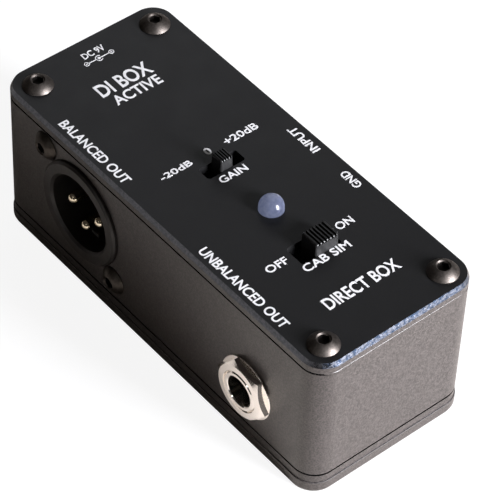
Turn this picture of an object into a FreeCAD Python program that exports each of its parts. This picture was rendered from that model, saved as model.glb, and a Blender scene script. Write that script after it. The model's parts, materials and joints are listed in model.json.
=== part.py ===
import FreeCAD, Part
import math
import os
from FreeCAD import Vector

# Compact direct injection box.  Millimetres, +Z up.
# Origin: centre of the bottom cover's underside.  +Y is the power inlet's end, -X the output side.

# ---- case ----------------------------------------------------------------------------------
LENGTH = 95.0
WIDTH = 38.8
HEIGHT = 35.5
CORNER_R = 4.8
WALL = 2.2
COVER_H = 4.3
COVER_FLOOR = 2.2
COVER_EDGE_R = 0.6
COVER_LIP = 0.2
COVER_LIP_H = 2.5
COVER_LIP_R = 0.15
PLATE_T = 2.4
PLATE_BEVEL_IN = 0.45
PLATE_BEVEL_DOWN = 1.05
SHELL_EDGE_R = 0.25
UPPER_SEAM_H = 0.45
UPPER_SEAM_D = 0.5
LOWER_SEAM_H = 0.45
LOWER_SEAM_D = 0.7
SCREW_X = 14.4
SCREW_Y = 42.3
SCREW_MIDDLE_Y = -0.35
POST_R = 4.2

# ---- M3 fasteners --------------------------------------------------------------------------
THREAD_R = 1.48
TAPPED_R = 1.5
CLEAR_R = 1.6
BUTTON_HEAD_R = 3.15
BUTTON_HEAD_H = 1.55
SOCKET_AF = 2.1
SOCKET_DEPTH = 1.0
SOCKET_SINK = 0.25
FLAT_HEAD_R = 2.8
FLAT_HEAD_H = 1.6

# ---- balanced output: male three-pin connector on the -X side --------------------------------
XLR_Y = 21.75
XLR_Z = 19.8
XLR_FLANGE_R = 11.3
XLR_PROUD = 1.0
XLR_BORE_R = 8.4
XLR_DEPTH = 14.5
XLR_BARREL_R = 10.2
XLR_PIN_CIRCLE_R = 4.15
XLR_PIN_R = 1.2
XLR_TIP_SETBACK = 0.2
XLR_KEY_HALF = 1.1
XLR_KEY_RISE = 0.7
XLR_KEY_SETBACK = 4.3
XLR_SCREW_DY = 10.6
XLR_SCREW_DZ = 10.0
XLR_SCREW_SHIFT = 0.4
XLR_PLATE_HALF_Y = 13.1
XLR_PLATE_HALF_Z = 12.4
XLR_PLATE_T = 2.5
XLR_INSERT_T = 4.5
XLR_BOARD_HALF_Y = 9.0
XLR_BOARD_DROP = 9.5
XLR_BOARD_T = 1.2
XLR_TAIL_R = 0.6

# ---- phone jacks (quarter inch) ----------------------------------------------------------------
OUT_JACK_Y = -28.6
IN_JACK_Y = -1.0
JACK_Z = 14.6
JACK_BORE_R = 3.25
JACK_BUSHING_R = 4.5
JACK_PROUD = 2.15
JACK_SUNK = 1.2
WASHER_R = 6.9
WASHER_T = 0.5
NUT_AF = 12.0
NUT_T = 1.6
NUT_TURN = 20.0
JACK_BODY_LEN = 22.5
JACK_BODY_HALF_Y = 7.8
JACK_BODY_HALF_Z = 6.4
JACK_BODY_BORE_R = 4.2
JACK_SPRING_CLEAR = 0.1

# ---- power inlet (5.5 x 2.1 mm barrel) on the +Y end -------------------------------------------
DC_Z = 20.0
DC_NOSE_R = 5.4
DC_BORE_R = 3.1
DC_DEPTH = 9.5
DC_PIN_R = 1.0
DC_BODY_HALF_X = 4.7
DC_BODY_LEN = 12.0

# ---- controls ------------------------------------------------------------------------------------
SLOT_CORNER_R = 0.6
GAIN_Y = 3.4
GAIN_SLOT = (9.0, 3.3)
GAIN_KNOB = (3.1, 3.1)
GAIN_KNOB_H = 2.7
GAIN_GROOVES = 4
CAB_Y = -23.5
CAB_SLOT_Y = -23.3
CAB_SLOT = (9.5, 5.0)
CAB_KNOB = (5.6, 4.45)
CAB_KNOB_X = 1.15
CAB_KNOB_H = 2.9
CAB_GROOVES = 6
KNOB_TAPER = 0.1
KNOB_EDGE_R = 0.4
KNOB_STEP = 0.15
GROOVE_SHARE = 0.68
GROOVE_D = 0.45
LIFT_Y = -14.6
LIFT_Z = 14.6
LIFT_CAP_R = 2.5
LIFT_PROUD = 2.2
LIFT_BODY_HALF = 3.6
LED_Y = -11.1
LED_R = 2.5
LED_PROUD = 0.5

# ---- inside ----------------------------------------------------------------------------------------
BOARD_TOP = 28.2
BOARD_T = 1.6
BOARD_HALF_X = 16.2
BOARD_HALF_Y = 37.5
GAP = 0.1

# ---- worked out from the above -----------------------------------------------------------------
HALF_L = LENGTH / 2
HALF_W = WIDTH / 2
INNER_X = HALF_W - WALL
INNER_Y = HALF_L - WALL
PLATE_Z = HEIGHT - PLATE_T
X_AXIS = Vector(1, 0, 0)
Y_AXIS = Vector(0, 1, 0)
Z_AXIS = Vector(0, 0, 1)


def block(x_low, x_high, y_low, y_high, z_low, z_high):
    corner = Vector(x_low, y_low, z_low)
    return Part.makeBox(x_high - x_low, y_high - y_low, z_high - z_low, corner)


def rod(start, radius, length, axis):
    return Part.makeCylinder(radius, length, start, axis)


def rounded_block(half_x, half_y, radius, z_low, z_high):
    """A block with its four upright edges rounded."""
    solid = block(-half_x, half_x, -half_y, half_y, z_low, z_high)
    upright = [edge for edge in solid.Edges if abs(edge.Vertexes[0].Z - edge.Vertexes[1].Z) > 1e-6]
    return solid.makeFillet(radius, upright)


def hexagon(centre, across_flats, length, axis, turn=0.0):
    """A six-sided prism that starts at centre and runs along axis."""
    across = across_flats / math.sqrt(3)
    points = []
    for corner in range(7):
        angle = math.radians(60 * corner + turn)
        points.append(Vector(across * math.cos(angle), across * math.sin(angle), 0))
    prism = Part.Face(Part.makePolygon(points)).extrude(Vector(0, 0, length))
    prism.Placement = FreeCAD.Placement(centre, FreeCAD.Rotation(Z_AXIS, axis))
    return prism


def turned(profile, centre, axis):
    """A solid of revolution from (radius, height) points, set at centre along axis."""
    points = [Vector(radius, 0, height) for radius, height in profile]
    points.append(points[0])
    solid = Part.Face(Part.makePolygon(points)).revolve(Vector(0, 0, 0), Z_AXIS, 360)
    solid.Placement = FreeCAD.Placement(centre, FreeCAD.Rotation(Z_AXIS, axis))
    return solid


def tapered_block(half_x, half_y, z_low, z_high, taper, centre_x, centre_y):
    """A block that narrows upwards by taper on each side."""
    wires = []
    for z, inset in ((z_low, 0.0), (z_high, taper)):
        dx = half_x - inset
        dy = half_y - inset
        corners = [(-dx, -dy), (dx, -dy), (dx, dy), (-dx, dy), (-dx, -dy)]
        wires.append(Part.makePolygon([Vector(centre_x + x, centre_y + y, z) for x, y in corners]))
    return Part.makeLoft(wires, True, True)


def corner_places():
    ends = (SCREW_MIDDLE_Y - SCREW_Y, SCREW_MIDDLE_Y + SCREW_Y)
    return [(x, y) for x in (-SCREW_X, SCREW_X) for y in ends]


def xlr_screw_places():
    middle_y = XLR_Y + XLR_SCREW_SHIFT
    middle_z = XLR_Z - XLR_SCREW_SHIFT
    return [(middle_y + side * XLR_SCREW_DY, middle_z + side * XLR_SCREW_DZ) for side in (-1, 1)]


# ---- case ----------------------------------------------------------------------------------------

def corner_posts(z_low, z_high):
    """Four posts in the corners of the case, trimmed to the case's inner outline."""
    limit = rounded_block(HALF_W - 0.5, HALF_L - 0.5, CORNER_R - 0.5, z_low, z_high)
    posts = []
    for x, y in corner_places():
        posts.append(rod(Vector(x, y, z_low), POST_R, z_high - z_low, Z_AXIS).common(limit))
    return posts


def bottom_cover():
    """A shallow cast tray with four countersunk holes; its lower part stands out as a lip."""
    lip = rounded_block(HALF_W + COVER_LIP, HALF_L + COVER_LIP, CORNER_R + COVER_LIP, 0, COVER_LIP_H)
    lower = [edge for edge in lip.Edges if max(v.Z for v in edge.Vertexes) < 1e-6]
    lip = lip.makeFillet(COVER_EDGE_R, lower)
    upper = [edge for edge in lip.Edges if min(v.Z for v in edge.Vertexes) > COVER_LIP_H - 1e-6]
    lip = lip.makeFillet(COVER_LIP_R, upper)
    tray = rounded_block(HALF_W, HALF_L, CORNER_R, 0, COVER_H).fuse(lip)
    tray = tray.cut(rounded_block(INNER_X, INNER_Y, CORNER_R - WALL, COVER_FLOOR, COVER_H))
    for post in corner_posts(COVER_FLOOR, COVER_H):
        tray = tray.fuse(post)
    for x, y in corner_places():
        tray = tray.cut(rod(Vector(x, y, 0), CLEAR_R, COVER_H, Z_AXIS))
        sink = Part.makeCone(FLAT_HEAD_R + GAP, CLEAR_R, FLAT_HEAD_H, Vector(x, y, 0), Z_AXIS)
        tray = tray.cut(sink)
    return tray.removeSplitter()


def seam_ring(z_low, z_high, depth, shift):
    """What is cut from the case's outside to leave a step; shift moves the inner outline along Y."""
    outside = rounded_block(HALF_W + 1, HALF_L + 1, CORNER_R + 1, z_low, z_high)
    inside = rounded_block(HALF_W - depth, HALF_L - depth, CORNER_R - depth, z_low, z_high)
    inside.translate(Vector(0, shift, 0))
    return outside.cut(inside)


def body_shell():
    """The walls of the case, with corner posts and the holes for the sockets and the button.

    The upper outer edge is slightly rounded, and a shallow step runs round under the plate; the step
    runs out to nothing at the -Y end.  A second step leaves a parting line above the cover.
    """
    shell = rounded_block(HALF_W, HALF_L, CORNER_R, COVER_H, PLATE_Z)
    upper = [edge for edge in shell.Edges if min(v.Z for v in edge.Vertexes) > PLATE_Z - 1e-6]
    shell = shell.makeFillet(SHELL_EDGE_R, upper)
    shell = shell.cut(seam_ring(PLATE_Z - UPPER_SEAM_H, PLATE_Z, UPPER_SEAM_D, -UPPER_SEAM_D))
    shell = shell.cut(seam_ring(COVER_H, COVER_H + LOWER_SEAM_H, LOWER_SEAM_D, 0))
    shell = shell.cut(rounded_block(INNER_X, INNER_Y, CORNER_R - WALL, COVER_H, PLATE_Z))
    for post in corner_posts(COVER_H, PLATE_Z):
        shell = shell.fuse(post)
    for x, y in corner_places():
        shell = shell.cut(rod(Vector(x, y, COVER_H), TAPPED_R, PLATE_Z - COVER_H, Z_AXIS))
    through = WALL + 1
    left = -HALF_W - 0.5
    right = INNER_X - 0.5
    shell = shell.cut(rod(Vector(left, XLR_Y, XLR_Z), XLR_FLANGE_R + GAP, through, X_AXIS))
    for y, z in xlr_screw_places():
        shell = shell.cut(rod(Vector(left, y, z), CLEAR_R, through, X_AXIS))
    for x, y in ((left, OUT_JACK_Y), (right, IN_JACK_Y)):
        shell = shell.cut(rod(Vector(x, y, JACK_Z), JACK_BUSHING_R + GAP, through, X_AXIS))
    shell = shell.cut(rod(Vector(right, LIFT_Y, LIFT_Z), LIFT_CAP_R + 0.25, through, X_AXIS))
    shell = shell.cut(rod(Vector(0, INNER_Y - 0.5, DC_Z), DC_NOSE_R + GAP, through, Y_AXIS))
    return shell.removeSplitter()


def top_plate():
    """The control plate, bevelled all round, with two slots, the light's hole and screw holes."""
    plate = rounded_block(HALF_W, HALF_L, CORNER_R, PLATE_Z, HEIGHT)
    rim = [edge for edge in plate.Edges if min(v.Z for v in edge.Vertexes) > HEIGHT - 1e-6]
    plate = plate.makeChamfer(PLATE_BEVEL_DOWN, PLATE_BEVEL_IN, rim)
    for y, (slot_x, slot_y) in ((GAIN_Y, GAIN_SLOT), (CAB_SLOT_Y, CAB_SLOT)):
        slot = rounded_block(slot_x / 2, slot_y / 2, SLOT_CORNER_R, PLATE_Z, HEIGHT)
        slot.translate(Vector(0, y, 0))
        plate = plate.cut(slot)
    plate = plate.cut(rod(Vector(0, LED_Y, PLATE_Z), LED_R + GAP, PLATE_T, Z_AXIS))
    for x, y in corner_places():
        plate = plate.cut(rod(Vector(x, y, PLATE_Z), CLEAR_R, PLATE_T, Z_AXIS))
    return plate


# ---- fasteners --------------------------------------------------------------------------------------

def button_screw(seat, axis, shank):
    """A socket screw with a domed head that stands on seat; its shank runs against axis."""
    top_r = SOCKET_AF / 2 + 0.4
    rim_z = 0.15
    rise = BUTTON_HEAD_H - rim_z
    below = (BUTTON_HEAD_R ** 2 - top_r ** 2 - rise ** 2) / (2 * rise)
    dome_r = math.hypot(BUTTON_HEAD_R, below)
    profile = [(0, -shank), (THREAD_R - 0.3, -shank), (THREAD_R, 0.4 - shank), (THREAD_R, 0)]
    profile += [(BUTTON_HEAD_R - 0.1, 0), (BUTTON_HEAD_R, rim_z)]
    steps = 7
    for step in range(1, steps):
        radius = BUTTON_HEAD_R + (top_r - BUTTON_HEAD_R) * step / steps
        profile.append((radius, rim_z + math.sqrt(dome_r ** 2 - radius ** 2) - below))
    profile += [(top_r, BUTTON_HEAD_H), (top_r - SOCKET_SINK, BUTTON_HEAD_H - SOCKET_SINK)]
    profile += [(0, BUTTON_HEAD_H - SOCKET_SINK)]
    screw = turned(profile, seat, axis)
    socket_start = seat + axis * (BUTTON_HEAD_H - SOCKET_DEPTH)
    return screw.cut(hexagon(socket_start, SOCKET_AF, SOCKET_DEPTH + 1, axis))


def flat_screw(x, y):
    """A countersunk screw that comes up through the bottom cover."""
    shank = 9.0
    z = 0.1
    profile = [(0, z), (FLAT_HEAD_R - 0.1, z), (THREAD_R, FLAT_HEAD_H), (THREAD_R, z + shank), (0, z + shank)]
    screw = turned(profile, Vector(x, y, 0), Z_AXIS)
    return screw.cut(hexagon(Vector(x, y, -1), SOCKET_AF, 1 + z + SOCKET_DEPTH, Z_AXIS))


def top_plate_screws():
    return Part.Compound([button_screw(Vector(x, y, HEIGHT), Z_AXIS, 8.0) for x, y in corner_places()])


def bottom_cover_screws():
    return Part.Compound([flat_screw(x, y) for x, y in corner_places()])


def xlr_screws():
    outward = X_AXIS * -1
    seats = [Vector(-HALF_W, y, z) for y, z in xlr_screw_places()]
    return Part.Compound([button_screw(seat, outward, 6.0) for seat in seats])


# ---- balanced output ----------------------------------------------------------------------------------

XLR_FRONT = -HALF_W - XLR_PROUD
XLR_FLOOR = XLR_FRONT + XLR_DEPTH
XLR_BACK = XLR_FLOOR + XLR_INSERT_T + 0.6


def xlr_housing():
    """A round flange that stands proud of the case, a square plate behind it and a barrel."""
    centre = Vector(XLR_FRONT, XLR_Y, XLR_Z)
    edge = 0.45
    wall_in = -INNER_X - XLR_FRONT
    lip = 0.5
    profile = [(XLR_BORE_R + lip, 0), (XLR_FLANGE_R - edge, 0), (XLR_FLANGE_R, edge), (XLR_FLANGE_R, wall_in)]
    profile += [(XLR_BORE_R, wall_in), (XLR_BORE_R, lip)]
    flange = turned(profile, centre, X_AXIS)
    plate = block(-INNER_X, -INNER_X + XLR_PLATE_T, XLR_Y - XLR_PLATE_HALF_Y, XLR_Y + XLR_PLATE_HALF_Y,
                  XLR_Z - XLR_PLATE_HALF_Z, XLR_Z + XLR_PLATE_HALF_Z)
    barrel = rod(Vector(-INNER_X, XLR_Y, XLR_Z), XLR_BARREL_R, XLR_BACK + INNER_X, X_AXIS)
    housing = flange.fuse([plate, barrel])
    housing = housing.cut(rod(Vector(-INNER_X, XLR_Y, XLR_Z), XLR_BORE_R, XLR_BACK + INNER_X, X_AXIS))
    for y, z in xlr_screw_places():
        housing = housing.cut(rod(Vector(-INNER_X, y, z), TAPPED_R, XLR_PLATE_T, X_AXIS))
    bore_low = XLR_Z - XLR_BORE_R
    key = block(XLR_FRONT + XLR_KEY_SETBACK, XLR_FLOOR, XLR_Y - XLR_KEY_HALF, XLR_Y + XLR_KEY_HALF,
                bore_low - 0.6, bore_low + XLR_KEY_RISE)
    return housing.fuse(key).removeSplitter()


def xlr_insert():
    """The disc that carries the three pins."""
    disc = rod(Vector(XLR_FLOOR, XLR_Y, XLR_Z), XLR_BORE_R, XLR_INSERT_T, X_AXIS)
    for y, z in xlr_pin_places().values():
        disc = disc.cut(rod(Vector(XLR_FLOOR, y, z), XLR_PIN_R, XLR_INSERT_T, X_AXIS))
    return disc


def xlr_pin_places():
    return {
        "xlr_pin_ground": (XLR_Y + XLR_PIN_CIRCLE_R, XLR_Z),
        "xlr_pin_hot": (XLR_Y - XLR_PIN_CIRCLE_R, XLR_Z),
        "xlr_pin_cold": (XLR_Y, XLR_Z - XLR_PIN_CIRCLE_R),
    }


def xlr_pin(y, z):
    """A contact pin with a domed tip and a thin tail for the small board."""
    tip = -HALF_W + XLR_TIP_SETBACK
    length = XLR_FLOOR + XLR_INSERT_T - tip
    tail = 3.2
    profile = [(0, 0)]
    steps = 6
    for step in range(1, steps + 1):
        angle = math.pi / 2 * step / steps
        profile.append((XLR_PIN_R * math.sin(angle), XLR_PIN_R * (1 - math.cos(angle))))
    profile += [(XLR_PIN_R, length), (XLR_TAIL_R, length), (XLR_TAIL_R, length + tail), (0, length + tail)]
    return turned(profile, Vector(tip, y, z), X_AXIS)


def xlr_circuit_board():
    """A small upright board on the tails of the pins."""
    high = BOARD_TOP - BOARD_T - 0.3
    board = block(XLR_BACK, XLR_BACK + XLR_BOARD_T, XLR_Y - XLR_BOARD_HALF_Y, XLR_Y + XLR_BOARD_HALF_Y,
                  XLR_Z - XLR_BOARD_DROP, high)
    for y, z in xlr_pin_places().values():
        board = board.cut(rod(Vector(XLR_BACK, y, z), XLR_TAIL_R + 0.02, XLR_BOARD_T, X_AXIS))
    return board


# ---- phone jacks -----------------------------------------------------------------------------------------
# Each piece is drawn with the case's outer face at 0 and the outward direction along +X of its own
# frame, then turned to its side of the case.

def on_side(shape, side, y, z):
    turn = FreeCAD.Rotation(Z_AXIS, 0 if side > 0 else 180)
    place = FreeCAD.Placement(Vector(side * HALF_W, y, z), turn)
    shape.Placement = place * shape.Placement
    return shape


def jack_bushing():
    edge = 0.45
    inner = -WALL - JACK_SUNK
    profile = [(JACK_BORE_R, inner), (JACK_BUSHING_R, inner), (JACK_BUSHING_R, JACK_PROUD - edge)]
    profile += [(JACK_BUSHING_R - edge, JACK_PROUD), (JACK_BORE_R + 0.2, JACK_PROUD)]
    profile += [(JACK_BORE_R, JACK_PROUD - 0.2)]
    return turned(profile, Vector(0, 0, 0), X_AXIS)


def jack_washer():
    washer = rod(Vector(0, 0, 0), WASHER_R, WASHER_T, X_AXIS)
    rim = [edge for edge in washer.Edges if edge.BoundBox.XMin > WASHER_T - 1e-6]
    washer = washer.makeFillet(0.2, rim)
    return washer.cut(rod(Vector(0, 0, 0), JACK_BUSHING_R + 0.02, WASHER_T, X_AXIS))


def jack_nut():
    """A six-sided nut with its outer corners turned off."""
    nut = hexagon(Vector(WASHER_T, 0, 0), NUT_AF, NUT_T, X_AXIS, NUT_TURN)
    corner_r = NUT_AF / math.sqrt(3)
    face_r = NUT_AF / 2 - 0.15
    drop = (corner_r - face_r) * math.tan(math.radians(32))
    top = WASHER_T + NUT_T
    profile = [(0, 0), (corner_r, 0), (corner_r, top - drop), (face_r, top), (0, top)]
    nut = nut.common(turned(profile, Vector(0, 0, 0), X_AXIS))
    return nut.cut(rod(Vector(0, 0, 0), JACK_BUSHING_R + 0.02, top, X_AXIS))


def jack_body():
    """The moulded block behind the wall, with the plug's bore and two slots for the springs."""
    back = -WALL - JACK_BODY_LEN
    half_y = JACK_BODY_HALF_Y
    half_z = JACK_BODY_HALF_Z
    body = block(back, -WALL, -half_y, half_y, -half_z, half_z)
    body = body.cut(rod(Vector(back + 1.5, 0, 0), JACK_BODY_BORE_R, JACK_BODY_LEN, X_AXIS))
    body = body.cut(rod(Vector(-WALL - JACK_SUNK, 0, 0), JACK_BUSHING_R, JACK_SUNK, X_AXIS))
    for x_low, x_high, flip in (tip_slot(), sleeve_slot()):
        y_far = flip * (half_y - 1.2)
        body = body.cut(block(x_low, x_high, min(0, y_far), max(0, y_far), -2.2, 2.2))
    return body


def tip_slot():
    return (-WALL - JACK_BODY_LEN + 2.5, -WALL - JACK_BODY_LEN + 9.5, 1)


def sleeve_slot():
    return (-WALL - 8.5, -WALL - 2.5, -1)


def contact_spring(slot):
    """A bent strip in its slot that reaches into the body's bore, just clear of a plug."""
    x_low, x_high, flip = slot
    near = JACK_BORE_R + JACK_SPRING_CLEAR
    back = near + 0.4
    far = JACK_BODY_HALF_Y - 1.4
    middle = (x_low + x_high) / 2
    outline = [(x_low + 0.4, far), (middle - 0.5, near), (middle + 0.5, near), (x_high - 0.4, far)]
    outline += [(x_high - 0.9, far), (middle + 0.35, back), (middle - 0.35, back), (x_low + 0.9, far)]
    points = [Vector(x, flip * y, -1.8) for x, y in outline]
    points.append(points[0])
    return Part.Face(Part.makePolygon(points)).extrude(Vector(0, 0, 3.6))


# ---- power inlet -----------------------------------------------------------------------------------------

def dc_jack_body():
    """A moulded block with a round nose in the end wall and the plug's bore."""
    nose_end = HALF_L - 0.2
    body = block(-DC_BODY_HALF_X, DC_BODY_HALF_X, INNER_Y - DC_BODY_LEN, INNER_Y, DC_Z - 5.4, DC_Z + 5.4)
    body = body.fuse(rod(Vector(0, INNER_Y, DC_Z), DC_NOSE_R, nose_end - INNER_Y, Y_AXIS))
    body = body.cut(rod(Vector(0, nose_end - DC_DEPTH, DC_Z), DC_BORE_R, DC_DEPTH, Y_AXIS))
    body = body.cut(rod(Vector(0, INNER_Y - DC_BODY_LEN, DC_Z), DC_PIN_R, DC_BODY_LEN, Y_AXIS))
    return body.removeSplitter()


def dc_jack_pin():
    end = HALF_L - 0.9
    length = end - (INNER_Y - DC_BODY_LEN)
    profile = [(0, 0), (DC_PIN_R, 0), (DC_PIN_R, length - 0.4), (DC_PIN_R - 0.4, length), (0, length)]
    return turned(profile, Vector(0, INNER_Y - DC_BODY_LEN, DC_Z), Y_AXIS)


def dc_jack_spring():
    """The outer contact: a strip along the lower side of the bore."""
    z = DC_Z - DC_BORE_R
    return block(-0.9, 0.9, INNER_Y - 6, INNER_Y - 1, z + 0.15, z + 0.5)


# ---- slide switches ------------------------------------------------------------------------------
# Each switch is a base on the board, a metal frame over it, and a slider with its knob.

FRAME_WALL = 0.35
BASE_T = 0.9
FRAME_TOP = PLATE_Z - 0.2
SLIDER_LOW = BOARD_TOP + BASE_T + 0.3
SLIDER_HIGH = FRAME_TOP - FRAME_WALL - 0.2


def frame_size(slot):
    return slot[0] + 3.2, slot[1] + 2.6


def switch_frame(y, slot):
    size_x, size_y = frame_size(slot)
    outer = block(-size_x / 2, size_x / 2, y - size_y / 2, y + size_y / 2, BOARD_TOP, FRAME_TOP)
    half_x = size_x / 2 - FRAME_WALL
    half_y = size_y / 2 - FRAME_WALL
    frame = outer.cut(block(-half_x, half_x, y - half_y, y + half_y, BOARD_TOP, FRAME_TOP - FRAME_WALL))
    return frame.cut(block(-slot[0] / 2, slot[0] / 2, y - slot[1] / 2, y + slot[1] / 2, BOARD_TOP, FRAME_TOP))


def switch_base(y, slot):
    size_x, size_y = frame_size(slot)
    half_x = size_x / 2 - FRAME_WALL
    half_y = size_y / 2 - FRAME_WALL
    return block(-half_x, half_x, y - half_y, y + half_y, BOARD_TOP, BOARD_TOP + BASE_T)


def switch_knob(x, y, slot, knob, knob_h, grooves):
    """The slider inside the frame, the stem through both slots and the grooved grip on top."""
    slider_half_x = knob[0] / 2 + 0.9
    slider_half_y = slot[1] / 2 + 0.6
    slider = block(x - slider_half_x, x + slider_half_x, y - slider_half_y, y + slider_half_y,
                   SLIDER_LOW, SLIDER_HIGH)
    half_x = knob[0] / 2
    half_y = knob[1] / 2
    stem_x = half_x - KNOB_STEP
    stem_y = half_y - KNOB_STEP
    stem = block(x - stem_x, x + stem_x, y - stem_y, y + stem_y, SLIDER_HIGH, HEIGHT)
    top = HEIGHT + knob_h
    grip = tapered_block(half_x, half_y, HEIGHT, top, KNOB_TAPER, x, y)
    upper_edges = [edge for edge in grip.Edges if edge.BoundBox.ZMax > HEIGHT + 0.1]
    grip = grip.makeFillet(KNOB_EDGE_R, upper_edges)
    pitch = 2 * (half_x - KNOB_TAPER) / (grooves + 1)
    half_groove = pitch * GROOVE_SHARE / 2
    for index in range(grooves):
        groove_x = x - half_x + KNOB_TAPER + pitch * (index + 1)
        grip = grip.cut(block(groove_x - half_groove, groove_x + half_groove, y - half_y, y + half_y,
                              top - GROOVE_D, top))
    return slider.fuse([stem, grip]).removeSplitter()


# ---- ground lift ---------------------------------------------------------------------------------

LIFT_BODY_X = (INNER_X - 9.5, INNER_X - 0.4)
LIFT_STEM_HALF = 1.4
LIFT_STEM_LEN = 4.6


def ground_lift_button():
    """A round cap through the wall, on a square stem."""
    back = INNER_X - 0.2
    cap_end = HALF_W + LIFT_PROUD
    edge = 0.4
    length = cap_end - back
    profile = [(0, 0), (LIFT_CAP_R, 0), (LIFT_CAP_R, length - edge), (LIFT_CAP_R - edge, length), (0, length)]
    cap = turned(profile, Vector(back, LIFT_Y, LIFT_Z), X_AXIS)
    stem = block(back - LIFT_STEM_LEN, back, LIFT_Y - LIFT_STEM_HALF, LIFT_Y + LIFT_STEM_HALF,
                 LIFT_Z - LIFT_STEM_HALF, LIFT_Z + LIFT_STEM_HALF)
    return cap.fuse(stem).removeSplitter()


def ground_lift_switch_body():
    """The switch behind the wall, with a pocket for the cap and the stem at full travel."""
    x_low, x_high = LIFT_BODY_X
    half = LIFT_BODY_HALF
    body = block(x_low, x_high, LIFT_Y - half, LIFT_Y + half, LIFT_Z - half, LIFT_Z + half)
    body = body.cut(rod(Vector(x_high - 2.4, LIFT_Y, LIFT_Z), LIFT_CAP_R + 0.3, 2.4, X_AXIS))
    room = LIFT_STEM_HALF + 0.2
    return body.cut(block(x_low + 1.2, x_high, LIFT_Y - room, LIFT_Y + room, LIFT_Z - room, LIFT_Z + room))


# ---- light, board and what is on it --------------------------------------------------------------

LED_BASE_Z = PLATE_Z - 1.2


def status_led_lens():
    """A five millimetre light: a collar under the plate, a round body and a dome."""
    collar_r = LED_R + 0.4
    collar_z = LED_BASE_Z + 1.0
    profile = [(0, LED_BASE_Z), (collar_r, LED_BASE_Z), (collar_r, collar_z), (LED_R, collar_z)]
    shoulder = HEIGHT + LED_PROUD
    steps = 10
    for step in range(steps):
        angle = math.pi / 2 * step / steps
        profile.append((LED_R * math.cos(angle), shoulder + LED_R * math.sin(angle)))
    profile.append((0, shoulder + LED_R))
    return turned(profile, Vector(0, LED_Y, 0), Z_AXIS)


def status_led_leads():
    half = 0.25
    leads = []
    for x in (-1.27, 1.27):
        leads.append(block(x - half, x + half, LED_Y - half, LED_Y + half, BOARD_TOP, LED_BASE_Z))
    return Part.Compound(leads)


def main_circuit_board():
    """The board under the control plate, cut back around the balanced connector."""
    low = BOARD_TOP - BOARD_T
    wide = block(-BOARD_HALF_X, BOARD_HALF_X, -BOARD_HALF_Y, XLR_Y - XLR_PLATE_HALF_Y - 0.8, low, BOARD_TOP)
    narrow_x = XLR_BACK + 2.2
    narrow = block(narrow_x, BOARD_HALF_X, -BOARD_HALF_Y, BOARD_HALF_Y, low, BOARD_TOP)
    return wide.fuse(narrow).removeSplitter()


def capacitor(x, y, radius, height):
    """A can capacitor that hangs under the board."""
    top = BOARD_TOP - BOARD_T
    can = rod(Vector(x, y, top - height), radius, height, Z_AXIS)
    rim = [edge for edge in can.Edges if edge.BoundBox.ZMax < top - height + 1e-6]
    return can.makeFillet(0.4, rim)


def chip(x, y, length, width):
    """A surface-mount package on top of the board, with its row of legs on each side."""
    half_x = length / 2
    half_y = width / 2
    leg_top = BOARD_TOP + 0.15
    package = block(x - half_x, x + half_x, y - half_y, y + half_y, leg_top, BOARD_TOP + 1.7)
    legs = []
    for index in range(4):
        leg_x = x - half_x + length * (index + 0.5) / 4
        legs.append(block(leg_x - 0.2, leg_x + 0.2, y - half_y - 1, y + half_y + 1, BOARD_TOP, leg_top))
    return Part.Compound([package] + legs)


def resistor_row():
    """Small chip resistors along the board's edge."""
    chips = []
    for index in range(6):
        y = -33 + 2.6 * index
        chips.append(block(13.0, 14.6, y, y + 0.9, BOARD_TOP, BOARD_TOP + 0.5))
    return Part.Compound(chips)


def board_header():
    """The pin strip that joins the small upright board to the main board."""
    x_low = XLR_BACK + 1.2
    z_high = BOARD_TOP - BOARD_T
    return block(x_low, x_low + 2.5, XLR_Y - 6, XLR_Y + 6, z_high - 2.5, z_high)


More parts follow.
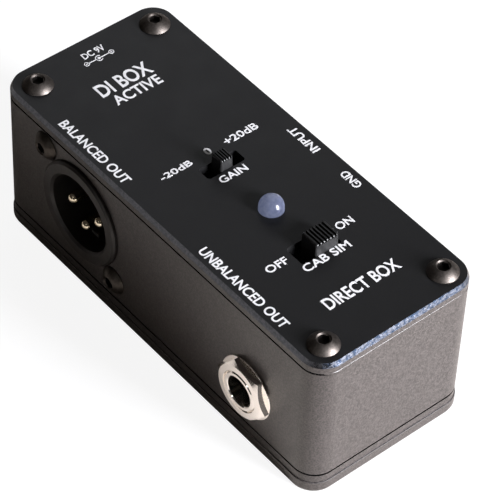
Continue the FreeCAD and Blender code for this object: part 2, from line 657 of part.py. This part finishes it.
def build():
    nodes = {
        "bottom_cover": bottom_cover(),
        "body_shell": body_shell(),
        "top_plate": top_plate(),
        "top_plate_screws": top_plate_screws(),
        "bottom_cover_screws": bottom_cover_screws(),
        "xlr_housing": xlr_housing(),
        "xlr_insert": xlr_insert(),
        "xlr_screws": xlr_screws(),
        "xlr_circuit_board": xlr_circuit_board(),
        "xlr_board_header": board_header(),
        "dc_jack_body": dc_jack_body(),
        "dc_jack_pin": dc_jack_pin(),
        "dc_jack_spring": dc_jack_spring(),
        "gain_switch_frame": switch_frame(GAIN_Y, GAIN_SLOT),
        "gain_switch_base": switch_base(GAIN_Y, GAIN_SLOT),
        "gain_switch_knob": switch_knob(0, GAIN_Y, GAIN_SLOT, GAIN_KNOB, GAIN_KNOB_H, GAIN_GROOVES),
        "cab_sim_switch_frame": switch_frame(CAB_Y, CAB_SLOT),
        "cab_sim_switch_base": switch_base(CAB_Y, CAB_SLOT),
        "cab_sim_switch_knob": switch_knob(CAB_KNOB_X, CAB_Y, CAB_SLOT, CAB_KNOB, CAB_KNOB_H, CAB_GROOVES),
        "ground_lift_button": ground_lift_button(),
        "ground_lift_switch_body": ground_lift_switch_body(),
        "status_led_lens": status_led_lens(),
        "status_led_leads": status_led_leads(),
        "main_circuit_board": main_circuit_board(),
        "preamp_chip": chip(8.5, -11, 5.0, 4.0),
        "cab_filter_chip": chip(-8.5, -11, 5.0, 4.0),
        "line_driver_chip": chip(9.5, 22, 5.0, 4.0),
        "chip_resistors": resistor_row(),
        "supply_capacitor": capacitor(11, 30, 4.0, 9.0),
        "output_capacitor_left": capacitor(11, -33, 3.15, 7.0),
        "output_capacitor_right": capacitor(11, -24.5, 3.15, 7.0),
    }
    for name, (y, z) in xlr_pin_places().items():
        nodes[name] = xlr_pin(y, z)
    for prefix, side, y in (("output_jack", -1, OUT_JACK_Y), ("input_jack", 1, IN_JACK_Y)):
        pieces = {
            "bushing": jack_bushing(),
            "washer": jack_washer(),
            "nut": jack_nut(),
            "body": jack_body(),
            "tip_spring": contact_spring(tip_slot()),
            "sleeve_spring": contact_spring(sleeve_slot()),
        }
        for piece, shape in pieces.items():
            nodes[prefix + "_" + piece] = on_side(shape, side, y, JACK_Z)
    return nodes


os.makedirs("parts", exist_ok=True)
for node_name, node_shape in build().items():
    if not node_shape.isValid():
        raise ValueError(node_name + " is not a valid shape")
    node_shape.exportStep("parts/" + node_name + ".step")
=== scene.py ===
import json
import math

import bmesh
import bpy
from mathutils import Matrix, Vector


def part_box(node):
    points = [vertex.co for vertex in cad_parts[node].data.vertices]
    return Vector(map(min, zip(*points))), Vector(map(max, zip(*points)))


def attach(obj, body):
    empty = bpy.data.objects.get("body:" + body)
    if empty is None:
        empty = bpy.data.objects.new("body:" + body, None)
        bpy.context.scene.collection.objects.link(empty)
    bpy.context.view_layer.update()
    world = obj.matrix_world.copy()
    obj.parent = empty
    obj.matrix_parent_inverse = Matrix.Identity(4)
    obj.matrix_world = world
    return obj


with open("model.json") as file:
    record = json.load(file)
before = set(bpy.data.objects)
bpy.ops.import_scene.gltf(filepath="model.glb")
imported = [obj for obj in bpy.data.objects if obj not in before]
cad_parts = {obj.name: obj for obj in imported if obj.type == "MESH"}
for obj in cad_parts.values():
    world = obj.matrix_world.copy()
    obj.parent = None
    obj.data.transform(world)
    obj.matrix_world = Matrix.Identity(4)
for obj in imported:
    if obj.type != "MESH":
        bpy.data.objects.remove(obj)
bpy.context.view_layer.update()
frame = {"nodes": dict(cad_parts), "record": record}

# Metres, +Z up. +Y is the power inlet's end and -X the side with the outputs.
MM = 0.001

# ---- places read from the frame ------------------------------------------------------------
TOP_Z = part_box("top_plate")[1][2]
PLATE_SEAM_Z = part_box("top_plate")[0][2]
COVER_SEAM_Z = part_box("bottom_cover")[1][2]
SHELL_LOW_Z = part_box("body_shell")[0][2]
HALF_W, HALF_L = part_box("body_shell")[1][:2]

# ---- sizes of the part's details that the finishes follow -----------------------------------
CORNER_R = 4.8 * MM
HEAD_R = 3.15 * MM
HEAD_H = 1.55 * MM
SOCKET_R = 1.25 * MM
SOCKET_FLOOR = 0.1 * MM
SOCKET_RIM = 0.26 * MM
KEY_SETBACK = 4.3 * MM
SEAM_STEP = 0.46 * MM
SEAM_WALL = 0.3 * MM
LIP_FLOOR_Z = 2.0 * MM

# ---- studio -----------------------------------------------------------------------------------
WORLD_LIGHT = 0.034
WORLD_COLOUR = (1.0, 0.86, 0.76, 1.0)
LIGHT_AIM = Vector((0, 0, 0.018))
LIGHTS = {
    "key": {
        "azimuth": 18, "elevation": 17, "distance": 0.7, "size": (0.22, 0.40),
        "power": 19.0, "colour": (0.99, 0.995, 1.06),
    },
    "left_strip": {
        "azimuth": -74, "elevation": 21, "distance": 0.6, "size": (0.03, 0.25),
        "power": 0.10, "colour": (1, 1, 1),
    },
    "back_fill": {
        "azimuth": 145, "elevation": 34, "distance": 0.34, "size": (0.24, 0.16),
        "power": 0.12, "colour": (0.94, 0.96, 1.0),
    },
}
SHOWN_FLOOR_HALF, SHOWN_FLOOR_Z = 4.0, -0.1 * MM
LIT_FLOOR_HALF, LIT_FLOOR_Z = 0.45, -0.5 * MM
BACKDROP_RADIUS = 3.9

# ---- camera -----------------------------------------------------------------------------------
CAMERA_AZIMUTH, CAMERA_ELEVATION, CAMERA_ROLL = -41.868, 46.591, 2.941
CAMERA_DISTANCE = 0.53206
CAMERA_TARGET = Vector((0.001223, -0.004399, 0.01775))
CAMERA_LENS, SENSOR_WIDTH = 199.54, 36.0


# ---- materials --------------------------------------------------------------------------------

class Shader:
    """A new material with a Principled surface and short calls for its texture nodes."""

    def __init__(self, name, **settings):
        self.mat = bpy.data.materials.new(name)
        self.mat.use_nodes = True
        self.nodes = self.mat.node_tree.nodes
        self.links = self.mat.node_tree.links
        self.surface = self.nodes["Principled BSDF"]
        self.coords = self.nodes.new("ShaderNodeTexCoord").outputs["Object"]
        self.set(**settings)

    def set(self, **settings):
        """Sets sockets of the surface; an underscore stands for a space in a socket's name."""
        for socket, value in settings.items():
            self.surface.inputs[socket.replace("_", " ")].default_value = value

    def noise(self, size, detail=3.0):
        """Noise whose features are about size metres across."""
        node = self.nodes.new("ShaderNodeTexNoise")
        node.inputs["Scale"].default_value = 1.0 / size
        node.inputs["Detail"].default_value = detail
        self.links.new(self.coords, node.inputs["Vector"])
        return node.outputs["Fac"]

    def drive(self, socket, factor, *stops):
        """Drives a socket by a factor through a ramp; each stop is (position, grey or colour)."""
        node = self.nodes.new("ShaderNodeValToRGB")
        for element, (position, colour) in zip(node.color_ramp.elements, stops):
            if isinstance(colour, (int, float)):
                colour = (colour, colour, colour)
            element.position = position
            element.color = (*colour, 1.0)
        self.links.new(factor, node.inputs["Fac"])
        self.links.new(node.outputs["Color"], self.surface.inputs[socket])

    def bump(self, height, strength, distance, sockets=("Normal",)):
        node = self.nodes.new("ShaderNodeBump")
        node.inputs["Strength"].default_value = strength
        node.inputs["Distance"].default_value = distance
        self.links.new(height, node.inputs["Height"])
        for socket in sockets:
            self.links.new(node.outputs["Normal"], self.surface.inputs[socket])


def case_paint(name, rough=0.30):
    """Gunmetal paint over cast metal: a fine grain in tone and height, and slow changes of gloss."""
    light = (0.061, 0.053, 0.051)
    dark = (0.017, 0.015, 0.0145)
    shader = Shader(name, IOR=1.57)
    grain = shader.noise(0.32 * MM)
    shader.drive("Base Color", grain, (0.36, dark), (0.66, light))
    shader.drive("Roughness", shader.noise(3 * MM), (0.3, rough), (0.7, rough + 0.07))
    shader.bump(grain, strength=0.50, distance=0.03 * MM)
    return shader.mat


def plate_black():
    """Satin black anodised face of the control plate."""
    shader = Shader("plate_black_anodised", IOR=1.45)
    grain = shader.noise(0.18 * MM, detail=2.0)
    shader.drive("Base Color", grain, (0.3, (0.004, 0.004, 0.0043)), (0.75, (0.008, 0.008, 0.0084)))
    shader.drive("Roughness", shader.noise(6 * MM), (0.3, 0.44), (0.7, 0.52))
    shader.bump(grain, strength=0.25, distance=0.01 * MM)
    return shader.mat


def metal(name, colour, rough, grain_size=0.4 * MM, variation=0.12, wear=0.05):
    """Bare or plated metal with faint handling marks."""
    shader = Shader(name, Metallic=1.0)
    fine = shader.noise(grain_size, detail=4.0)
    low = tuple(c * (1 - variation) for c in colour)
    shader.drive("Base Color", fine, (0.3, low), (0.7, colour))
    shader.drive("Roughness", shader.noise(grain_size * 3), (0.3, rough), (0.75, rough + wear))
    shader.bump(fine, strength=0.12, distance=0.01 * MM)
    return shader.mat


def bevel_cut(name, dark, light, unevenness):
    """A stretch of the plate's bevel, cut back to bright metal with a bluish cast. The colours given for
    each stretch paint in how the light falls on it.
    """
    shader = Shader(name, Metallic=1.0)
    patches = shader.noise(0.6 * MM, detail=4.0)
    shader.drive("Base Color", patches, (0.38, dark), (0.62, light))
    shader.drive("Roughness", shader.noise(0.5 * MM), (0.3, 0.12), (0.7, 0.20))
    shader.bump(patches, strength=unevenness, distance=0.05 * MM)
    return shader.mat


def plastic(name, colour, rough, grain=0.2):
    """Moulded plastic: a fine spark-eroded grain and slightly uneven gloss."""
    shader = Shader(name, IOR=1.5)
    fine = shader.noise(0.2 * MM, detail=2.0)
    low = tuple(c * 0.75 for c in colour)
    shader.drive("Base Color", fine, (0.35, low), (0.7, colour))
    shader.drive("Roughness", shader.noise(1.5 * MM), (0.3, rough - 0.05), (0.7, rough + 0.05))
    shader.bump(fine, strength=grain, distance=0.01 * MM)
    return shader.mat


def led_resin_with_painted_glow():
    """Frosted, bluish white resin that lets light in a little way, under a clear skin. A faint painted
    glow stands in for light scattered inside it and evens out its shading.
    """
    shader = Shader("light_frosted_resin_painted_glow", Roughness=0.5, IOR=1.3)
    cloud_and_glow = shader.noise(0.9 * MM)
    shader.drive("Base Color", cloud_and_glow, (0.3, (0.022, 0.025, 0.040)), (0.7, (0.050, 0.056, 0.084)))
    # Painted glow: the emission colour and strength paint in light scattered inside the resin.
    shader.drive("Emission Color", cloud_and_glow, (0.35, (0.46, 0.55, 0.95)), (0.65, (0.57, 0.65, 1.0)))
    shader.set(
        Subsurface_Weight=1.0,
        Subsurface_Radius=(1.0, 1.1, 1.4),
        Subsurface_Scale=2.0 * MM,
        Emission_Strength=0.20,
        Specular_IOR_Level=0.12,
        Coat_Weight=0.6,
        Coat_Roughness=0.02,
        Sheen_Weight=0.12,
    )
    skin = shader.noise(0.35 * MM, detail=2.0)
    shader.bump(skin, strength=0.55, distance=0.03 * MM, sockets=("Normal", "Coat Normal"))
    return shader.mat


def painted_gap_shade():
    """Painted shade for the inside of the parting lines: near black and dull."""
    shader = Shader("seam_gap_painted_shade", Roughness=0.9, Specular_IOR_Level=0.05)
    shade_speckle = shader.noise(0.3 * MM)
    shader.drive("Base Color", shade_speckle, (0.3, 0.001), (0.7, 0.003))
    shader.bump(shade_speckle, strength=0.2, distance=0.01 * MM)
    return shader.mat


def ink_finish():
    """White ink that covers the black unevenly."""
    shader = Shader("print_white_ink", Roughness=0.5)
    cover = shader.noise(0.15 * MM)
    shader.drive("Base Color", cover, (0.25, 0.70), (0.6, 0.88))
    shader.bump(cover, strength=0.1, distance=0.004 * MM)
    return shader.mat


def board_finish():
    """Green lacquer over the weave of a circuit board."""
    shader = Shader("board_green_lacquer", Roughness=0.3)
    weave = shader.noise(0.5 * MM, detail=2.0)
    shader.drive("Base Color", weave, (0.35, (0.01, 0.09, 0.03)), (0.65, (0.02, 0.16, 0.06)))
    shader.bump(weave, strength=0.1, distance=0.01 * MM)
    return shader.mat


MATERIALS = {
    "case_paint": case_paint("case_gunmetal_paint"),
    "cover_paint": case_paint("cover_gunmetal_paint"),
    "plate_anodised": plate_black(),
    "dark_screw": metal("screw_blackened_steel", (0.135, 0.119, 0.107), 0.43, variation=0.35, wear=0.12),
    "flange_plastic": plastic("flange_black_plastic", (0.014, 0.012, 0.011), 0.44),
    "insert_plastic": plastic("insert_black_plastic", (0.012, 0.012, 0.012), 0.5),
    "knob_plastic": plastic("knob_black_plastic", (0.014, 0.014, 0.014), 0.35, grain=0.35),
    "button_plastic": plastic("button_black_plastic", (0.02, 0.02, 0.02), 0.35),
    "gold_contact": metal("contact_gold_plate", (1.0, 0.90, 0.68), 0.12),
    "nickel": metal("jack_nickel_plate", (0.99, 0.95, 0.90), 0.12, 0.6 * MM, variation=0.06),
    # Painted shade: the spring strip's steel is darkened to stand for the shade inside the jack's bore.
    "spring_steel": metal("spring_strip_steel_painted_shade", (0.30, 0.28, 0.25), 0.42),
    "switch_metal": metal("switch_blackened_steel", (0.05, 0.05, 0.05), 0.45),
    "phenolic": plastic("switch_base_laminate", (0.10, 0.05, 0.02), 0.55),
    "frosted_light": led_resin_with_painted_glow(),
    "circuit_board": board_finish(),
    "package_plastic": plastic("package_black_plastic", (0.02, 0.02, 0.02), 0.55),
    "capacitor_sleeve": plastic("capacitor_sleeve_film", (0.03, 0.04, 0.09), 0.3),
}
NODE_SLOT = {part["node"]: part["material_slot"] for part in frame["record"]["subparts"]}

for node, obj in frame["nodes"].items():
    obj.data.materials.clear()
    obj.data.materials.append(MATERIALS[NODE_SLOT[node]])


# ---- faces with a finish of their own ----------------------------------------------------------

def dress_faces(node, material, chosen):
    """Gives a node's faces for which chosen(centre, normal) is true a finish of their own."""
    obj = frame["nodes"][node]
    obj.data.materials.append(material)
    index = len(obj.data.materials) - 1
    for face in obj.data.polygons:
        if chosen(face.center, face.normal):
            face.material_index = index


def from_outline(point):
    """How far inside the case's outline a point is, seen from above."""
    side_x = max(abs(point.x) - HALF_W + CORNER_R, 0.0)
    side_y = max(abs(point.y) - HALF_L + CORNER_R, 0.0)
    return CORNER_R - math.hypot(side_x, side_y)


def dress_flange_screws():
    """The two screws of the three-pin socket get painted shade: a darker copy of the plate screws' metal.
    """
    black = metal("screw_flange_painted_shade", (0.075, 0.066, 0.058), 0.40, variation=0.3)
    dress_faces("xlr_screws", black, lambda centre, normal: True)


def dress_plate():
    """Gives the plate's bevel and its outer side their own finishes. The bevel's two copies are painted
    light: a lit copy on the ends and a shaded copy along the long sides.
    """
    # Painted highlight and painted reflection: the ends' copy is brighter and bluer, its patches painted
    # glints; the long sides' copy is a darker, even, shaded copy.
    lit_end_bevel = bevel_cut("plate_bevel_end_painted_lit", (0.040, 0.062, 0.108), (0.175, 0.20, 0.255), 0.6)
    shaded_long_bevel = bevel_cut("plate_bevel_long_painted_shade", (0.086, 0.094, 0.110), (0.125, 0.135, 0.155), 0.2)
    side = case_paint("plate_side_satin")

    def on_bevel(normal):
        return 0.2 < normal.z < 0.6

    def at_end(normal):
        return abs(normal.y) > abs(normal.x)

    dress_faces("top_plate", lit_end_bevel, lambda c, n: on_bevel(n) and at_end(n))
    dress_faces("top_plate", shaded_long_bevel, lambda c, n: on_bevel(n) and not at_end(n))
    dress_faces("top_plate", side, lambda c, n: abs(n.z) < 0.1 and from_outline(c) < 0.2 * MM)


def dress_seams():
    """The two parting lines round the case get painted shade inside, and so does the top of the cover's
    ledge in the lower one.
    """
    dark = painted_gap_shade()

    def in_step(centre, normal):
        flat = abs(normal.z) > 0.9
        upright = abs(normal.z) < 0.1
        at_seam = centre.z < SHELL_LOW_Z + SEAM_STEP or centre.z > PLATE_SEAM_Z - SEAM_STEP
        inset = flat or (upright and abs(centre.x) < HALF_W - SEAM_WALL)
        return at_seam and inset and from_outline(centre) > 0.1 * MM

    def on_ledge(centre, normal):
        return normal.z > 0.9 and centre.z > COVER_SEAM_Z - 0.01 * MM

    dress_faces("body_shell", dark, in_step)
    dress_faces("bottom_cover", dark, on_ledge)


def dress_lip():
    """The rounded edge of the bottom cover's lip is duller on the two ends."""
    dull = case_paint("cover_lip_dull_paint", rough=0.62)

    def on_edge(centre, normal):
        outermost = from_outline(centre) < 0.05 * MM and centre.z > LIP_FLOOR_Z
        return outermost and abs(normal.y) > 0.3 and normal.z > 0.1

    dress_faces("bottom_cover", dull, on_edge)


def dress_sockets(node, dark, along, height):
    """The hexagon sockets of the screws at a node's corners get painted shade inside: dull and dark.

    The screws lie on axis number along, and height tells how far out a point is from their seat.
    """
    low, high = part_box(node)
    first, second = [axis for axis in range(3) if axis != along]
    places = [
        (a, b)
        for a in (low[first] + HEAD_R, high[first] - HEAD_R)
        for b in (low[second] + HEAD_R, high[second] - HEAD_R)
    ]

    def in_socket(centre, normal):
        off = min(math.hypot(centre[first] - a, centre[second] - b) for a, b in places)
        return off < SOCKET_R and SOCKET_FLOOR < height(centre) < HEAD_H - SOCKET_RIM

    dress_faces(node, dark, in_socket)


def dress_key_highlight():
    """The front of the three-pin socket's key gets a painted highlight: a paler, smoother copy of the
    socket's plastic.
    """
    pale = plastic("flange_key_painted_highlight", (0.16, 0.165, 0.155), 0.3)
    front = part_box("xlr_housing")[0][0] + KEY_SETBACK
    dress_faces("xlr_housing", pale, lambda c, n: n.x < -0.9 and abs(c.x - front) < 0.05 * MM)


dress_flange_screws()
dress_plate()
dress_seams()
dress_lip()
# Painted shade: a darker, duller copy of the screw metal for the socket insides.
shade_in_sockets = metal("screw_socket_painted_shade", (0.03, 0.027, 0.025), 0.55)
dress_sockets("top_plate_screws", shade_in_sockets, 2, lambda centre: centre.z - TOP_Z)
dress_sockets("xlr_screws", shade_in_sockets, 0, lambda centre: -HALF_W - centre.x)
dress_key_highlight()


# ---- print on the control plate ------------------------------------------------------------------

INK = ink_finish()
INK_THICK = 0.03 * MM
LETTER_BOLD = 0.02
LEVEL, DOWN, UP = 0.0, -90.0, 90.0

# name, words, width, height, x and y of the centre (all in millimetres), turn about Z in degrees
LABELS = (
    ("print_balanced_out", "BALANCED OUT", 20.3, 2.2, -16.85, 20.8, DOWN),
    ("print_unbalanced_out", "UNBALANCED OUT", 24.0, 2.2, -16.85, -23.3, DOWN),
    ("print_input", "INPUT", 7.9, 1.9, 16.6, -0.9, UP),
    ("print_gnd", "GND", 4.8, 1.9, 16.7, -14.5, UP),
    ("print_minus_20db", "-20dB", 7.4, 1.5, -7.8, 7.5, LEVEL),
    ("print_zero", "0", 1.35, 1.95, 0.1, 7.8, LEVEL),
    ("print_plus_20db", "+20dB", 8.0, 1.8, 8.1, 7.7, LEVEL),
    ("print_gain", "GAIN", 6.4, 1.8, 0.1, 0.2, LEVEL),
    ("print_off", "OFF", 4.9, 1.8, -8.6, -22.8, LEVEL),
    ("print_on", "ON", 3.9, 1.9, 8.2, -22.3, LEVEL),
    ("print_cab_sim", "CAB SIM", 11.0, 1.9, 0.1, -26.7, LEVEL),
    ("print_di_box", "DI BOX", 12.5, 3.7, -0.3, 33.2, LEVEL),
    ("print_active", "ACTIVE", 11.2, 2.7, 0.0, 29.3, LEVEL),
    ("print_dc_9v", "DC 9V", 5.2, 1.7, -0.2, 43.0, LEVEL),
    ("print_direct_box", "DIRECT BOX", 17.5, 2.9, 0.6, -35.8, LEVEL),
)
BOLDER = {"print_zero": 0.04}


def linked(name, data):
    obj = bpy.data.objects.new(name, data)
    bpy.context.scene.collection.objects.link(obj)
    return obj


def print_on_plate(name, mesh):
    """Makes a printed piece of a mesh; it moves with the case."""
    mesh.materials.clear()
    mesh.materials.append(INK)
    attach(linked(name, mesh), "case")


def letter_mesh(name, text, bold):
    """The mesh of a word of thick letters, of any size."""
    curve = bpy.data.curves.new(name + "_outline", "FONT")
    curve.body = text
    curve.align_x = "CENTER"
    curve.align_y = "CENTER"
    curve.extrude = 0.5
    curve.offset = bold
    curve.resolution_u = 4
    maker = linked(name + "_outline", curve)
    bpy.context.view_layer.update()
    mesh = bpy.data.meshes.new_from_object(maker.evaluated_get(bpy.context.evaluated_depsgraph_get()))
    bpy.data.objects.remove(maker)
    return mesh


def lettering(name, text, width, height, x, y, turn):
    """A word printed on the plate, fitted to its width and height."""
    mesh = letter_mesh(name, text, BOLDER.get(name, LETTER_BOLD))
    low = [min(v.co[i] for v in mesh.vertices) for i in range(3)]
    high = [max(v.co[i] for v in mesh.vertices) for i in range(3)]
    size = (width * MM, height * MM, INK_THICK)
    angle = math.radians(turn)
    for vertex in mesh.vertices:
        px, py, pz = [size[i] * ((vertex.co[i] - low[i]) / (high[i] - low[i]) - 0.5) for i in range(3)]
        vertex.co = (
            x * MM + px * math.cos(angle) - py * math.sin(angle),
            y * MM + px * math.sin(angle) + py * math.cos(angle),
            TOP_Z + INK_THICK * 0.6 + pz,
        )
    print_on_plate(name, mesh)


def polarity_mark(x, y, width):
    """The usual mark for a barrel plug: a circle, a dot in a broken ring, and a circle, on one line."""
    builder = bmesh.new()
    line = 0.16 * MM
    circle_r = 0.50 * MM
    ring_r = 0.72 * MM
    dot_r = 0.32 * MM
    sign = 0.26 * MM
    end = width * MM / 2 - circle_r

    def slab(outline):
        low = [builder.verts.new((px, py, 0.0)) for px, py in outline]
        high = [builder.verts.new((px, py, INK_THICK)) for px, py in outline]
        builder.faces.new(list(reversed(low)))
        builder.faces.new(high)
        for k in range(len(outline)):
            n = (k + 1) % len(outline)
            builder.faces.new((low[k], low[n], high[n], high[k]))

    def arc(cx, radius, start, stop, steps=24):
        inner, outer = radius - line / 2, radius + line / 2
        for k in range(steps):
            a0 = math.radians(start + (stop - start) * k / steps)
            a1 = math.radians(start + (stop - start) * (k + 1) / steps)
            corners = [(inner, a0), (outer, a0), (outer, a1), (inner, a1)]
            slab([(cx + r * math.cos(a), r * math.sin(a)) for r, a in corners])

    def bar(x0, x1, half):
        slab([(x0, -half), (x1, -half), (x1, half), (x0, half)])

    arc(-end, circle_r, 0, 360)
    arc(end, circle_r, 0, 360)
    arc(0.0, ring_r, 40, 320)
    slab([(dot_r * math.cos(a * math.pi / 8), dot_r * math.sin(a * math.pi / 8)) for a in range(16)])
    bar(-end + circle_r, -ring_r, line / 2)
    bar(0.3 * MM, end - circle_r, line / 2)
    bar(-end - sign, -end + sign, line / 2)
    bar(end - sign, end + sign, line / 2)
    bar(end - line / 2, end + line / 2, sign)
    mesh = bpy.data.meshes.new("print_polarity_mark")
    builder.to_mesh(mesh)
    mesh.transform(Matrix.Translation((x * MM, y * MM, TOP_Z + INK_THICK * 0.1)))
    print_on_plate("print_polarity_mark", mesh)


for label in LABELS:
    lettering(*label)
polarity_mark(-0.3, 40.9, 7.0)


# ---- stage: floor, light, camera -------------------------------------------------------------------

def direction(azimuth, elevation):
    """The way out from the object; azimuth 0 looks at its -Y end, and 90 at its +X side."""
    az = math.radians(azimuth)
    el = math.radians(elevation)
    return Vector((math.sin(az) * math.cos(el), -math.cos(az) * math.cos(el), math.sin(el)))


def flat_sheet(name, half, height):
    mesh = bpy.data.meshes.new(name)
    corners = [(-half, -half, height), (half, -half, height), (half, half, height), (-half, half, height)]
    mesh.from_pydata(corners, [], [(0, 1, 2, 3)])
    sheet = linked(name, mesh)
    return sheet


def shown_floor():
    """The pale floor that the camera sees. It glows, so the shadows on it are faint."""
    floor = flat_sheet("floor", SHOWN_FLOOR_HALF, SHOWN_FLOOR_Z)
    floor.visible_diffuse = False
    floor.visible_glossy = False
    floor.visible_shadow = False
    shader = Shader("floor_paper", Roughness=0.9, Specular_IOR_Level=0.0)
    shader.set(Emission_Color=(1.0, 1.0, 1.0, 1.0), Emission_Strength=0.90)
    shader.drive("Base Color", shader.noise(0.05), (0.3, 0.16), (0.7, 0.20))
    floor.data.materials.append(shader.mat)


def lit_floor():
    """The floor as the object sees it: it sends the key light back up and holds the shadow."""
    floor = flat_sheet("floor_bounce", LIT_FLOOR_HALF, LIT_FLOOR_Z)
    floor.visible_camera = False
    floor.visible_shadow = False
    shader = Shader("floor_bounce_paper", Roughness=0.9, Specular_IOR_Level=0.0)
    shader.drive("Base Color", shader.noise(0.05), (0.3, (0.79, 0.72, 0.64)), (0.7, (0.84, 0.77, 0.69)))
    floor.data.materials.append(shader.mat)


def backdrop():
    """A pale dome far away, so that low views have a light background."""
    mesh = bpy.data.meshes.new("backdrop")
    builder = bmesh.new()
    bmesh.ops.create_uvsphere(builder, u_segments=32, v_segments=16, radius=BACKDROP_RADIUS)
    builder.to_mesh(mesh)
    dome = linked("backdrop", mesh)
    dome.visible_diffuse = False
    dome.visible_glossy = False
    dome.visible_transmission = False
    dome.visible_shadow = False
    shader = Shader("backdrop_paper", Roughness=0.9, Emission_Strength=1.0)
    shader.drive("Emission Color", shader.noise(2.0), (0.3, 0.86), (0.7, 0.90))
    mesh.materials.append(shader.mat)


def area_light(name, azimuth, elevation, distance, size, power, colour):
    light = bpy.data.lights.new(name, "AREA")
    light.shape = "RECTANGLE"
    light.size, light.size_y = size
    light.energy = power
    light.color = colour
    lamp = linked(name, light)
    outward = direction(azimuth, elevation)
    lamp.location = LIGHT_AIM + outward * distance
    lamp.rotation_euler = outward.to_track_quat("Z", "Y").to_euler()


def studio():
    scene = bpy.context.scene
    scene.view_settings.view_transform = "Standard"
    scene.world = bpy.data.worlds.new("studio")
    scene.world.use_nodes = True
    background = scene.world.node_tree.nodes["Background"]
    background.inputs["Color"].default_value = WORLD_COLOUR
    background.inputs["Strength"].default_value = WORLD_LIGHT
    for name, settings in LIGHTS.items():
        area_light(name, **settings)


def camera():
    """The camera stands where the photograph was taken from; the frame is square."""
    back = direction(CAMERA_AZIMUTH, CAMERA_ELEVATION)
    az = math.radians(CAMERA_AZIMUTH)
    turn = math.radians(CAMERA_ROLL)
    right = Vector((math.cos(az), math.sin(az), 0.0))
    up = back.cross(right)
    cam_x = math.cos(turn) * right + math.sin(turn) * up
    cam_y = math.cos(turn) * up - math.sin(turn) * right
    data = bpy.data.cameras.new("camera")
    data.lens = CAMERA_LENS
    data.sensor_width = SENSOR_WIDTH
    data.clip_start = 0.01
    eye = linked("camera", data)
    place = Matrix.Translation(CAMERA_TARGET + back * CAMERA_DISTANCE)
    eye.matrix_world = place @ Matrix((cam_x, cam_y, back)).transposed().to_4x4()
    bpy.context.scene.camera = eye


shown_floor()
lit_floor()
backdrop()
studio()
camera()
